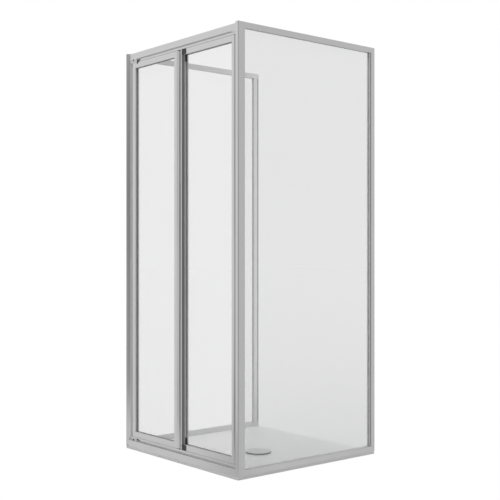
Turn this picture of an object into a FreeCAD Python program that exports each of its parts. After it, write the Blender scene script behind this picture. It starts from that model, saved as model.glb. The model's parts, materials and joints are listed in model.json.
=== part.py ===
"""Three-sided framed shower enclosure: folding front door, two fixed glass sides, low tray with a drain."""
import os

import FreeCAD
import Part
import Sketcher

# Driving sizes in millimetres.
# X runs along the door, Y from the door to the wall, Z up; the origin is under the middle of the tray.
SIZES = {
    "frame_width": 850, "frame_depth": 800, "frame_height": 1850,
    # tray and drain
    "tray_height": 12, "tray_corner_radius": 4, "tray_fall": 4,
    "tray_rim_front": 60, "tray_rim_side": 40, "tray_rim_back": 30,
    "drain_right": 90, "drain_forward": 15, "drain_flat_margin": 6,
    "waste_seat_radius": 56, "waste_seat_depth": 2, "waste_hole_radius": 45, "waste_wall": 4,
    "waste_rim_wall": 0.5, "waste_clearance": 0.3,
    "cover_radius": 60, "cover_lift": 5, "cover_edge": 3, "cover_dome": 4,
    "cover_shoulder_radius": 36, "cover_shoulder_drop": 1.4,
    "cover_leg_thickness": 3, "cover_leg_width": 12, "cover_leg_gap": 1.2,
    # fixed side panels
    "panel_thickness": 18, "post_depth": 35.3, "post_bevel": 15, "post_chamfer": 2, "cap_height": 10,
    "profile_wall": 2, "bevel_wall": 3, "rail_height": 24.5,
    "panel_glass": 5, "panel_gasket": 1.5, "panel_lip": 1, "panel_groove": 12, "panel_bite": 8,
    "stile_depth": 4, "stile_groove": 9, "tongue_inset": 3.2, "tongue_depth": 19,
    "wall_seal_depth": 4, "room_seal_depth": 4, "wall_depth": 23, "wall_web": 3, "wall_flange": 3,
    "wall_hole_radius": 3, "wall_hole_inset": 250,
    # door frame
    "fascia_setback": 10, "head_drop": 3, "track_depth": 28, "fascia_height": 29, "shadow_height": 6,
    "shadow_depth": 3.5, "lip_height": 9, "lip_setback": 2, "slot_width": 12.8, "slot_height": 32,
    "sill_height": 29.5, "sill_gap": 5, "sill_lip": 10.5,
    "hinge_jamb_width": 7, "strike_jamb_width": 12, "jamb_setback": 2, "jamb_depth": 26, "jamb_wall": 2,
    "hinge_seal": 2.4, "strike_seal": 3.8, "edge_seal_width": 13,
    "hinge_seal_inset": 2, "strike_seal_inset": 9.5,
    "screw_radius": 1.75, "screw_head_radius": 3.4, "screw_head_height": 2.2, "screw_reach": 4,
    "screw_clearance": 0.1, "screw_inset": 5, "screw_end_inset": 250,
    # door leaves
    "leaf_setback": 2, "leaf_thickness": 20,
    "leaf_gap": 0.8, "leaf_edge_gap_hinge": 3, "leaf_edge_gap_strike": 5,
    "leaf_rail": 26, "leaf_glass": 5, "leaf_gasket": 2, "leaf_lip": 1.5, "leaf_groove": 12, "leaf_bite": 8,
    "nose_margin": 0.05, "pivot_stile": 34.5,
    "hinge_stile": 34, "hinge_stile_flat": 19.5, "hinge_stile_chamfer": 4,
    "pull_stile": 32, "closing_stile": 23, "closing_groove": 8.5,
    "pull_lip": 9, "pull_recess": 21.5, "pull_recess_depth": 3.5,
    "grip_base": 1.2, "grip_rib_height": 2, "grip_ribs": 2, "grip_clearance": 0.2, "plug_height": 24,
    # folding mechanism
    "pivot_pin_radius": 4, "guide_pin_radius": 3, "pin_bite": 30, "pin_reach": 27, "running_clearance": 0.05,
    "bush_length": 26, "bush_clearance": 0.1, "bush_height": 28, "bush_lift": 2,
    "shoe_length": 26, "shoe_width": 12, "shoe_height": 16, "shoe_lift": 9,
    "hinge_gap": 15, "hinge_pin_radius": 2.5, "knuckle_radius": 5, "knuckle_count": 3, "knuckle_gap": 1,
    "knuckle_end_inset": 10, "flange_thickness": 2, "flange_setback": 2, "flange_depth": 16,
    "web_inside": 3, "web_depth": 4,
}

doc = FreeCAD.newDocument("shower_enclosure")
sheet = doc.addObject("Spreadsheet::Sheet", "Dim")
for row, (alias, size) in enumerate(SIZES.items(), start=1):
    sheet.set(f"A{row}", alias)
    sheet.set(f"B{row}", str(size))
    sheet.setAlias(f"B{row}", alias)
doc.recompute()

# Places that several pieces share, as expressions on the sheet.
BASE = "Dim.tray_height"
TOP = "(Dim.tray_height + Dim.frame_height)"
FRONT = "(-Dim.frame_depth / 2)"
BACK = "(Dim.frame_depth / 2)"
INNER = "(Dim.frame_width / 2 - Dim.panel_thickness)"
POST_BACK = f"({FRONT} + Dim.post_depth)"
STILE_BACK = f"({BACK} - Dim.wall_depth - Dim.wall_seal_depth)"
STILE_FRONT = f"({STILE_BACK} - Dim.stile_depth)"
PANEL_LOW = f"({BASE} + Dim.rail_height)"
PANEL_HIGH = f"({TOP} - Dim.rail_height)"
PANEL_GLAZING = "(Dim.panel_glass + 2 * Dim.panel_gasket)"
FASCIA = f"({FRONT} + Dim.fascia_setback)"
HEAD_TOP = f"({TOP} - Dim.head_drop)"
HEAD_HEIGHT = "(Dim.fascia_height + Dim.shadow_height + Dim.lip_height)"
HEAD_BOTTOM = f"({HEAD_TOP} - {HEAD_HEIGHT})"
SILL_HEIGHT = "(Dim.sill_height + Dim.sill_gap + Dim.sill_lip)"
SILL_TOP = f"({BASE} + {SILL_HEIGHT})"
OPENING = f"(2 * {INNER})"
LEAF_FRONT = f"({FASCIA} + Dim.leaf_setback)"
LEAF_MIDDLE = f"({LEAF_FRONT} + Dim.leaf_thickness / 2)"
LEAF_BOTTOM = f"({SILL_TOP} + Dim.leaf_gap)"
LEAF_TOP = f"({HEAD_BOTTOM} - Dim.leaf_gap)"
LEAF_HEIGHT = f"({LEAF_TOP} - {LEAF_BOTTOM})"
LEAF_GLAZING = "(Dim.leaf_glass + 2 * Dim.leaf_gasket)"
LEAF_A_LEFT = f"(Dim.hinge_jamb_width + Dim.leaf_edge_gap_hinge - {INNER})"
LEAF_B_RIGHT = f"({INNER} - Dim.strike_jamb_width - Dim.leaf_edge_gap_strike)"
PIVOT_X = f"({LEAF_A_LEFT} + Dim.leaf_thickness / 2)"
GUIDE_X = f"({LEAF_B_RIGHT} - Dim.leaf_thickness / 2)"
HINGE_X = f"(({PIVOT_X} + {GUIDE_X}) / 2)"
LEAF_A_RIGHT = f"({HINGE_X} - Dim.hinge_gap / 2)"
LEAF_B_LEFT = f"({HINGE_X} + Dim.hinge_gap / 2)"
DRAIN_X = "Dim.drain_right"
DRAIN_Y = "(-Dim.drain_forward)"
DRAIN_FLOOR = "(Dim.tray_height - Dim.tray_fall)"
DRAIN_SEAT = f"({DRAIN_FLOOR} - Dim.waste_seat_depth)"

NODES = []


def value(expression):
    """Number that an expression on the sheet gives."""
    return float(sheet.evalExpression(expression))


def place(obj, x="0", y="0", z="0"):
    """Bind the three coordinates of an object's placement."""
    for axis, expression in zip("xyz", (x, y, z)):
        obj.setExpression(f"Placement.Base.{axis}", expression)


def node(label, obj):
    """Name a finished sub-part."""
    obj.Label = label
    NODES.append(obj)
    return obj


def box(name, size, at):
    """Block with bound sides and a bound corner."""
    block = doc.addObject("Part::Box", name)
    for side, expression in zip(("Length", "Width", "Height"), size):
        block.setExpression(side, expression)
    place(block, *at)
    return block


def span_box(name, x, y, z):
    """Block given by where it starts and ends along each axis."""
    sides = [f"({end}) - ({start})" for start, end in (x, y, z)]
    return box(name, sides, (x[0], y[0], z[0]))


def rod(name, radius, length, at, direction=(0, 0, 1)):
    """Round bar from a point along a direction."""
    bar = doc.addObject("Part::Cylinder", name)
    bar.Placement.Rotation = FreeCAD.Rotation(FreeCAD.Vector(0, 0, 1), FreeCAD.Vector(*direction))
    bar.setExpression("Radius", radius)
    bar.setExpression("Height", length)
    place(bar, *at)
    return bar


def cone(name, wide, narrow, length, at, direction):
    """Countersink from its wide end along a direction."""
    taper = doc.addObject("Part::Cone", name)
    taper.Placement.Rotation = FreeCAD.Rotation(FreeCAD.Vector(0, 0, 1), FreeCAD.Vector(*direction))
    taper.setExpression("Radius1", wide)
    taper.setExpression("Radius2", narrow)
    taper.setExpression("Height", length)
    place(taper, *at)
    return taper


def group(name, members):
    """Several separate solids in one sub-part."""
    compound = doc.addObject("Part::Compound", name)
    compound.Links = members
    return compound


def fuse(name, members):
    """One solid from several."""
    union = doc.addObject("Part::MultiFuse", name)
    union.Shapes = members
    return union


def cut(name, base, tool):
    """What is left of a solid once a tool is taken out of it."""
    rest = doc.addObject("Part::Cut", name)
    rest.Base = base
    rest.Tool = tool
    return rest


def sketch_on(body, name, plane):
    """Empty sketch on one of a body's own origin planes."""
    sketch = body.newObject("Sketcher::SketchObject", name)
    support = next(feature for feature in body.Origin.OriginFeatures if feature.Role == plane)
    sketch.AttachmentSupport = [(support, "")]
    sketch.MapMode = "FlatFace"
    return sketch


def fix_point(sketch, edge, end, x, y):
    """Tie one end of a sketch's edge to two expressions, measured from the sketch's origin."""
    for kind, axis, expression in (("DistanceX", -2, x), ("DistanceY", -1, y)):
        if expression == "0":
            sketch.addConstraint(Sketcher.Constraint("PointOnObject", edge, end, axis))
        else:
            distance = Sketcher.Constraint(kind, -1, 1, edge, end, value(expression))
            index = sketch.addConstraint(distance)
            sketch.setExpression(f"Constraints[{index}]", expression)


def outline(sketch, corners):
    """Closed outline of straight edges through the given corners."""
    first = sketch.GeometryCount
    count = len(corners)
    points = [FreeCAD.Vector(value(x), value(y), 0) for x, y in corners]
    for start, end in zip(points, points[1:] + points[:1]):
        sketch.addGeometry(Part.LineSegment(start, end), False)
    for i in range(count):
        following = first + (i + 1) % count
        sketch.addConstraint(Sketcher.Constraint("Coincident", first + i, 2, following, 1))
        fix_point(sketch, first + i, 1, *corners[i])


def rectangle(x0, y0, x1, y1):
    """Corners of a rectangle."""
    return [(x0, y0), (x1, y0), (x1, y1), (x0, y1)]


def turned_over(loops, depth):
    """The same section with its second coordinate measured from the other side."""
    other_side = {"0": depth, depth: "0"}
    return [[(x, other_side.get(y, f"({depth} - {y})")) for x, y in loop] for loop in loops]


def swapped(loops):
    """The same section with its two coordinates exchanged."""
    return [[(y, x) for x, y in loop] for loop in loops]


def mirrored(loops, width):
    """The same section with its first coordinate measured from the other side."""
    return swapped(turned_over(swapped(loops), width))


def extrusion(name, plane, loops, length, at, reverse=False):
    """Straight profile: outlines on an origin plane, padded to a bound length."""
    body = doc.addObject("PartDesign::Body", name)
    sketch = sketch_on(body, f"{name}_section", plane)
    for loop in loops:
        outline(sketch, loop)
    pad = body.newObject("PartDesign::Pad", f"{name}_length")
    pad.Profile = sketch
    pad.setExpression("Length", length)
    pad.Reversed = reverse
    place(body, *at)
    return body


def round_uprights(body, radius, wanted):
    """Round the upright edges of a body whose own x and y pass a test."""
    doc.recompute()
    pad = body.Tip
    names = []
    for i, edge in enumerate(pad.Shape.Edges, start=1):
        upright = abs(edge.tangentAt(edge.FirstParameter).z) > 0.5
        middle = edge.CenterOfMass
        if upright and wanted(middle.x, middle.y):
            names.append(f"Edge{i}")
    rounding = body.newObject("PartDesign::Fillet", f"{body.Name}_rounding")
    rounding.Base = (pad, names)
    rounding.setExpression("Radius", radius)
    body.Tip = rounding


def revolved(name, corners, at):
    """Turned piece: a half section of radius and height, revolved about the vertical axis."""
    body = doc.addObject("PartDesign::Body", name)
    sketch = sketch_on(body, f"{name}_section", "XZ_Plane")
    outline(sketch, corners)
    turn = body.newObject("PartDesign::Revolution", f"{name}_turn")
    turn.Profile = sketch
    turn.ReferenceAxis = (sketch, ["V_Axis"])
    turn.Angle = 360
    place(body, *at)
    return body


def grooved(width, depth, groove, glazing, wall):
    """Hollow bar, width along x and depth along y, with a glazing groove in the middle of its far y side."""
    left = f"({width} / 2 - {glazing} / 2)"
    right = f"({width} / 2 + {glazing} / 2)"
    floor = f"({depth} - {groove})"
    outer = [
        ("0", "0"), (width, "0"), (width, depth), (right, depth), (right, floor), (left, floor),
        (left, depth), ("0", depth),
    ]
    chamber = rectangle(wall, wall, f"({width} - {wall})", f"({floor} - {wall})")
    return [outer, chamber]


def tray():
    """Low tray: a slab with a floor that falls to the drain, and the drain's stepped hole."""
    corner = ("-Dim.frame_width / 2", FRONT)
    slab = extrusion("tray_slab", "XY_Plane", [rectangle("0", "0", "Dim.frame_width", "Dim.frame_depth")],
                     BASE, corner)
    round_uprights(slab, "Dim.tray_corner_radius", lambda x, y: True)
    floor = doc.addObject("Part::Wedge", "tray_floor")
    # The wedge is turned so that its own Y is up and its own Z points to the door.
    floor.Placement.Rotation = FreeCAD.Rotation(FreeCAD.Vector(1, 0, 0), 90)
    flat = "(Dim.waste_seat_radius + Dim.drain_flat_margin)"
    limits = {
        "Ymin": DRAIN_FLOOR, "Ymax": BASE,
        "Xmin": f"{DRAIN_X} - {flat}", "Xmax": f"{DRAIN_X} + {flat}",
        "Zmin": f"-{DRAIN_Y} - {flat}", "Zmax": f"-{DRAIN_Y} + {flat}",
        "X2min": "Dim.tray_rim_side - Dim.frame_width / 2",
        "X2max": "Dim.frame_width / 2 - Dim.tray_rim_side",
        "Z2min": "Dim.tray_rim_back - Dim.frame_depth / 2",
        "Z2max": "Dim.frame_depth / 2 - Dim.tray_rim_front",
    }
    for side, expression in limits.items():
        floor.setExpression(side, expression)
    seat = rod("waste_seat", "Dim.waste_seat_radius", BASE, (DRAIN_X, DRAIN_Y, DRAIN_SEAT))
    hole = rod("waste_hole", "Dim.waste_hole_radius", BASE, (DRAIN_X, DRAIN_Y, "0"))
    node("shower_tray", cut("tray_body", slab, fuse("tray_hollow", [floor, seat, hole])))


def waste():
    """Waste flange seated in the tray, and the domed cover that lifts out of it."""
    rim = "(Dim.waste_seat_radius - Dim.waste_clearance)"
    neck = "(Dim.waste_hole_radius - Dim.waste_clearance)"
    bore = f"({neck} - Dim.waste_wall)"
    ledge = f"({bore} - Dim.waste_wall)"
    ledge_top = f"({DRAIN_SEAT} / 2)"
    node("waste_flange", revolved("waste_turned", [
        (ledge, "Dim.waste_rim_wall"), (neck, "Dim.waste_rim_wall"), (neck, DRAIN_SEAT), (rim, DRAIN_SEAT),
        (rim, DRAIN_FLOOR), (bore, DRAIN_FLOOR), (bore, ledge_top), (ledge, ledge_top),
    ], (DRAIN_X, DRAIN_Y)))

    low = f"({DRAIN_FLOOR} + Dim.cover_lift)"
    rim_top = f"({low} + Dim.cover_edge)"
    crown = f"({rim_top} + Dim.cover_dome)"
    disc = revolved("cover_turned", [
        ("0", low), ("Dim.cover_radius", low), ("Dim.cover_radius", rim_top),
        ("Dim.cover_shoulder_radius", f"({crown} - Dim.cover_shoulder_drop)"), ("0", crown),
    ], (DRAIN_X, DRAIN_Y))
    # Four legs stand on the flange's ledge, with the inlet between them.
    thickness = "Dim.cover_leg_thickness"
    width = "Dim.cover_leg_width"
    reach = f"({bore} - Dim.cover_leg_gap)"
    foot = f"({ledge_top} + Dim.waste_clearance)"
    height = f"({low} - {foot})"
    beside = f"-{width} / 2"
    legs = {
        "right": (thickness, width, f"{reach} - {thickness}", beside),
        "left": (thickness, width, f"-{reach}", beside),
        "back": (width, thickness, beside, f"{reach} - {thickness}"),
        "front": (width, thickness, beside, f"-{reach}"),
    }
    members = [disc]
    for name, (along, across, x, y) in legs.items():
        at = (f"{DRAIN_X} + {x}", f"{DRAIN_Y} + {y}", foot)
        members.append(box(f"cover_leg_{name}", (along, across, height), at))
    node("drain_cover", fuse("cover_body", members))


def post_section(bevel):
    """Front post: glazing groove at the back and a bevel on one front corner, hollow inside."""
    outer, chamber = grooved("Dim.panel_thickness", "Dim.post_depth", "Dim.panel_groove", PANEL_GLAZING,
                             "Dim.profile_wall")
    face = f"(Dim.panel_thickness - {bevel})"
    outer[1:2] = [(face, "0"), ("Dim.panel_thickness", bevel)]
    inside = "(Dim.panel_thickness - Dim.profile_wall)"
    slope = f"(Dim.bevel_wall - {face})"
    chamber[0] = ("Dim.profile_wall", f"max(Dim.profile_wall; Dim.profile_wall + {slope})")
    chamber[1] = (inside, f"max(Dim.profile_wall; {inside} + {slope})")
    return outer, chamber


def jamb_screw_levels():
    """Heights of the screws that fix each jamb."""
    return [f"({SILL_TOP} + Dim.screw_end_inset)", f"({HEAD_BOTTOM} - Dim.screw_end_inset)"]


def jamb_screws(side, sign):
    """Countersunk screws through a jamb into the post, and the holes that they pass through."""
    width = f"Dim.{side}_jamb_width"
    face = f"({sign} * ({INNER} - {width}))"
    y = f"({FASCIA} + Dim.jamb_setback + Dim.screw_inset)"
    length = f"({width} + Dim.profile_wall + Dim.screw_reach)"
    direction = (sign, 0, 0)
    screws = []
    holes = []
    for i, level in enumerate(jamb_screw_levels()):
        at = (face, y, level)
        name = f"{side}_jamb_{i}"
        head = cone(f"{name}_head", "Dim.screw_head_radius", "Dim.screw_radius", "Dim.screw_head_height", at,
                    direction)
        shank = rod(f"{name}_shank", "Dim.screw_radius", length, at, direction)
        screws.append(fuse(f"{name}_screw", [head, shank]))
        sink = cone(f"{name}_sink", "Dim.screw_head_radius + Dim.screw_clearance",
                    "Dim.screw_radius + Dim.screw_clearance", "Dim.screw_head_height", at, direction)
        bore = rod(f"{name}_bore", "Dim.screw_radius + Dim.screw_clearance", length, at, direction)
        holes.append(fuse(f"{name}_hole", [sink, bore]))
    node(f"{side}_jamb_screws", group(f"{side}_jamb_screw_set", screws))
    return group(f"{side}_jamb_holes", holes)


def fixed_pane(side, middle):
    """Pane of a fixed side and the two frames of gasket that hold it on either face."""
    bite = "Dim.panel_bite"
    lip = "Dim.panel_lip"
    y_span = (f"{POST_BACK} - {bite}", f"{STILE_FRONT} + {bite}")
    z_span = (f"{PANEL_LOW} - {bite}", f"{PANEL_HIGH} + {bite}")
    glass_x = (f"{middle} - Dim.panel_glass / 2", f"{middle} + Dim.panel_glass / 2")
    pane = node(f"{side}_glass", span_box(f"{side}_pane", glass_x, y_span, z_span))
    gasket_x = (f"{middle} - {PANEL_GLAZING} / 2", f"{middle} + {PANEL_GLAZING} / 2")
    full = span_box(f"{side}_gasket_full", gasket_x, y_span, z_span)
    view = span_box(f"{side}_gasket_view", gasket_x, (f"{POST_BACK} + {lip}", f"{STILE_FRONT} - {lip}"),
                    (f"{PANEL_LOW} + {lip}", f"{PANEL_HIGH} - {lip}"))
    frame = cut(f"{side}_gasket_frame", full, view)
    node(f"{side}_glass_gasket", cut(f"{side}_gasket_body", frame, pane))


def wall_edge(side, sign, left, middle):
    """Rear stile, the channel on the wall that takes its tongue, and the strips that seal the two."""
    height = f"({PANEL_HIGH} - {PANEL_LOW})"
    width = "Dim.panel_thickness"
    wall = "Dim.profile_wall"
    flange = "Dim.wall_flange"
    near = f"({width} / 2 - {PANEL_GLAZING} / 2)"
    far = f"({width} / 2 + {PANEL_GLAZING} / 2)"
    tongue = f"({width} - Dim.tongue_inset)"
    tip = "(Dim.stile_depth + Dim.tongue_depth)"
    room_leg = f"({BACK} - {STILE_FRONT} - {tip} - Dim.room_seal_depth)"
    room_end = f"(Dim.wall_depth - {room_leg})"
    inside = f"({width} - {flange})"
    floor = "(Dim.wall_depth - Dim.wall_web)"
    # Both sections have the room at x = 0, so the left panel's are mirrored.
    stile_section = [[
        ("0", "0"), (near, "0"), (near, "Dim.stile_groove"), (far, "Dim.stile_groove"), (far, "0"),
        (width, "0"), (width, "Dim.stile_depth"), (tongue, "Dim.stile_depth"), (tongue, tip), ("0", tip),
    ], rectangle(wall, f"(Dim.stile_groove + {wall})", f"({tongue} - {wall})", f"({tip} - {wall})")]
    channel_section = [[
        ("0", room_end), (flange, room_end), (flange, floor), (inside, floor), (inside, "0"), (width, "0"),
        (width, "Dim.wall_depth"), ("0", "Dim.wall_depth"),
    ]]
    outer_span = (tongue, width)
    room_span = ("0", flange)
    if sign < 0:
        stile_section = mirrored(stile_section, width)
        channel_section = mirrored(channel_section, width)
        outer_span = ("0", "Dim.tongue_inset")
        room_span = (inside, width)
    stile = extrusion(f"{side}_stile", "XY_Plane", stile_section, height, (left, STILE_FRONT, PANEL_LOW))
    node(f"{side}_rear_stile", stile)

    z_span = (PANEL_LOW, PANEL_HIGH)
    outer_y = (STILE_BACK, f"{STILE_BACK} + Dim.wall_seal_depth")
    room_y = (f"{STILE_FRONT} + {tip}", f"{STILE_FRONT} + {tip} + Dim.room_seal_depth")
    seals = []
    for name, x, y in (("outer", outer_span, outer_y), ("room", room_span, room_y)):
        x = [f"{left} + {end}" for end in x]
        seals.append(span_box(f"{side}_{name}_seal", x, y, z_span))
    node(f"{side}_wall_seal", group(f"{side}_wall_seals", seals))

    channel = extrusion(f"{side}_channel", "XY_Plane", channel_section, height,
                        (left, f"{BACK} - Dim.wall_depth", PANEL_LOW))
    levels = (f"{BASE} + Dim.wall_hole_inset", f"{BASE} + Dim.frame_height / 2",
              f"{TOP} - Dim.wall_hole_inset")
    holes = [
        rod(f"{side}_wall_hole_{i}", "Dim.wall_hole_radius", "Dim.wall_web",
            (middle, f"{BACK} - Dim.wall_web", level), (0, 1, 0))
        for i, level in enumerate(levels)
    ]
    node(f"{side}_wall_profile", cut(f"{side}_channel_drilled", channel, group(f"{side}_wall_holes", holes)))


def side_panel(side, sign, screw_holes):
    """One fixed side: front post and its cap, two rails, pane, and the edge at the wall."""
    middle = f"({sign} * (Dim.frame_width / 2 - Dim.panel_thickness / 2))"
    left = f"({middle} - Dim.panel_thickness / 2)"
    outer, chamber = post_section("Dim.post_bevel" if sign < 0 else "Dim.post_chamfer")
    post = extrusion(f"{side}_post", "XY_Plane", [outer, chamber], "Dim.frame_height", (left, FRONT, BASE))
    node(f"{side}_front_post", cut(f"{side}_post_drilled", post, screw_holes))
    cap_place = (left, FRONT, f"{TOP} - Dim.cap_height")
    node(f"{side}_post_cap", extrusion(f"{side}_cap", "XY_Plane", [chamber], "Dim.cap_height", cap_place))

    rail_section = grooved("Dim.panel_thickness", "Dim.rail_height", "Dim.panel_groove", PANEL_GLAZING,
                           "Dim.profile_wall")
    rail_length = f"({BACK} - {POST_BACK})"
    low_rail = extrusion(f"{side}_low", "XZ_Plane", rail_section, rail_length, (left, BACK, BASE))
    node(f"{side}_bottom_rail", low_rail)
    rail_section = turned_over(rail_section, "Dim.rail_height")
    high_rail = extrusion(f"{side}_high", "XZ_Plane", rail_section, rail_length, (left, BACK, PANEL_HIGH))
    node(f"{side}_top_rail", high_rail)
    fixed_pane(side, middle)
    wall_edge(side, sign, left, middle)


SLOT_FRONT = f"({LEAF_MIDDLE} - Dim.slot_width / 2)"


def head_track():
    """Top of the door frame: fascia, shadow groove and lip in front, slot for the pivots underneath."""
    near = f"({SLOT_FRONT} - {FASCIA})"
    far = f"({near} + Dim.slot_width)"
    shelf = "(Dim.lip_height + Dim.shadow_height)"
    section = [
        ("Dim.lip_setback", "0"), (near, "0"), (near, "Dim.slot_height"), (far, "Dim.slot_height"),
        (far, "0"), ("Dim.track_depth", "0"), ("Dim.track_depth", HEAD_HEIGHT), ("0", HEAD_HEIGHT),
        ("0", shelf), ("Dim.shadow_depth", shelf), ("Dim.shadow_depth", "Dim.lip_height"),
        ("Dim.lip_setback", "Dim.lip_height"),
    ]
    node("top_track", extrusion("head", "YZ_Plane", [section], OPENING, (f"-{INNER}", FASCIA, HEAD_BOTTOM)))
    seal_y = (f"{FASCIA} + Dim.lip_setback", f"{FASCIA} + Dim.shadow_depth")
    seal_z = (f"{HEAD_BOTTOM} + Dim.lip_height", f"{HEAD_BOTTOM} + {shelf}")
    node("top_track_seal", span_box("head_seal", (f"-{INNER}", INNER), seal_y, seal_z))


def sill_track():
    """Foot of the door frame: sill flush with the posts, shadow groove and lip, slot open upwards."""
    near = f"({SLOT_FRONT} - {FRONT})"
    far = f"({near} + Dim.slot_width)"
    lip = "(Dim.fascia_setback + Dim.lip_setback)"
    groove = "(Dim.fascia_setback + Dim.shadow_depth)"
    shelf = "(Dim.sill_height + Dim.sill_gap)"
    depth = "(Dim.fascia_setback + Dim.track_depth)"
    slot_floor = f"({SILL_HEIGHT} - Dim.slot_height)"
    section = [
        ("0", "0"), (depth, "0"), (depth, SILL_HEIGHT), (far, SILL_HEIGHT), (far, slot_floor),
        (near, slot_floor), (near, SILL_HEIGHT), (lip, SILL_HEIGHT), (lip, shelf), (groove, shelf),
        (groove, "Dim.sill_height"), ("0", "Dim.sill_height"),
    ]
    node("bottom_track", extrusion("sill", "YZ_Plane", [section], OPENING, (f"-{INNER}", FRONT, BASE)))
    seal_y = (f"{FRONT} + {lip}", f"{FRONT} + {groove}")
    seal_z = (f"{BASE} + Dim.sill_height", f"{BASE} + {shelf}")
    node("bottom_track_seal", span_box("sill_seal", (f"-{INNER}", INNER), seal_y, seal_z))


def jamb(name, sign, screw_holes):
    """Upright of the door frame on a post, with the soft strip that the door's edge closes on."""
    width = f"Dim.{name}_jamb_width"
    seal = f"Dim.{name}_seal"
    height = f"({HEAD_BOTTOM} - {SILL_TOP})"
    wall = "Dim.jamb_wall"
    section = [
        rectangle("0", "0", width, "Dim.jamb_depth"),
        rectangle(wall, wall, f"({width} - {wall})", f"(Dim.jamb_depth - {wall})"),
    ]
    left = f"-{INNER}" if sign < 0 else f"{INNER} - {width}"
    front = f"({FASCIA} + Dim.jamb_setback)"
    bar = extrusion(f"{name}_bar", "XY_Plane", section, height, (left, front, SILL_TOP))
    node(f"{name}_jamb", cut(f"{name}_jamb_drilled", bar, screw_holes))
    seal_x = f"{width} - {INNER}" if sign < 0 else f"{INNER} - {width} - {seal}"
    strip = box(f"{name}_strip", (seal, "Dim.edge_seal_width", height),
                (seal_x, f"{front} + Dim.{name}_seal_inset", SILL_TOP))
    node(f"{name}_seal", strip)


def leaf_rails(leaf, left, right):
    """Top and bottom rail of a leaf, between its stiles."""
    section = grooved("Dim.leaf_thickness", "Dim.leaf_rail", "Dim.leaf_groove", LEAF_GLAZING,
                      "Dim.profile_wall")
    length = f"({right} - {left})"
    low = extrusion(f"{leaf}_low", "YZ_Plane", section, length, (left, LEAF_FRONT, LEAF_BOTTOM))
    node(f"{leaf}_bottom_rail", low)
    high = extrusion(f"{leaf}_high", "YZ_Plane", turned_over(section, "Dim.leaf_rail"), length,
                     (left, LEAF_FRONT, f"{LEAF_TOP} - Dim.leaf_rail"))
    node(f"{leaf}_top_rail", high)


def leaf_glazing(leaf, left, right):
    """Pane of a leaf and the two dark frames of gasket that hold it on either face."""
    low = f"({LEAF_BOTTOM} + Dim.leaf_rail)"
    high = f"({LEAF_TOP} - Dim.leaf_rail)"
    bite = "Dim.leaf_bite"
    lip = "Dim.leaf_lip"
    x_span = (f"{left} - {bite}", f"{right} + {bite}")
    z_span = (f"{low} - {bite}", f"{high} + {bite}")
    glass_y = (f"{LEAF_MIDDLE} - Dim.leaf_glass / 2", f"{LEAF_MIDDLE} + Dim.leaf_glass / 2")
    pane = node(f"{leaf}_glass", span_box(f"{leaf}_pane", x_span, glass_y, z_span))
    gasket_y = (f"{LEAF_MIDDLE} - {LEAF_GLAZING} / 2", f"{LEAF_MIDDLE} + {LEAF_GLAZING} / 2")
    full = span_box(f"{leaf}_gasket_full", x_span, gasket_y, z_span)
    view = span_box(f"{leaf}_gasket_view", (f"{left} + {lip}", f"{right} - {lip}"), gasket_y,
                    (f"{low} + {lip}", f"{high} - {lip}"))
    frame = cut(f"{leaf}_gasket_frame", full, view)
    node(f"{leaf}_gasket", cut(f"{leaf}_gasket_body", frame, pane))


def end_bores(name, x, radius):
    """Bores in both ends of a stile for its pins."""
    bored = f"{radius} + Dim.running_clearance"
    low = rod(f"{name}_low_bore", bored, "Dim.pin_bite", (x, LEAF_MIDDLE, LEAF_BOTTOM))
    high = rod(f"{name}_high_bore", bored, "Dim.pin_bite", (x, LEAF_MIDDLE, f"{LEAF_TOP} - Dim.pin_bite"))
    return group(f"{name}_bores", [low, high])


def end_pins(leaf, kind, x, radius):
    """Pins that stand out of both ends of a stile into the tracks."""
    length = "Dim.pin_bite + Dim.leaf_gap + Dim.pin_reach"
    low = rod(f"{leaf}_{kind}_low", radius, length, (x, LEAF_MIDDLE, f"{SILL_TOP} - Dim.pin_reach"))
    node(f"{kind}_pin_bottom", low)
    high = rod(f"{leaf}_{kind}_high", radius, length, (x, LEAF_MIDDLE, f"{LEAF_TOP} - Dim.pin_bite"))
    node(f"{kind}_pin_top", high)


GROOVE_NEAR = f"(Dim.leaf_thickness / 2 - {LEAF_GLAZING} / 2)"
GROOVE_FAR = f"(Dim.leaf_thickness / 2 + {LEAF_GLAZING} / 2)"


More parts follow.
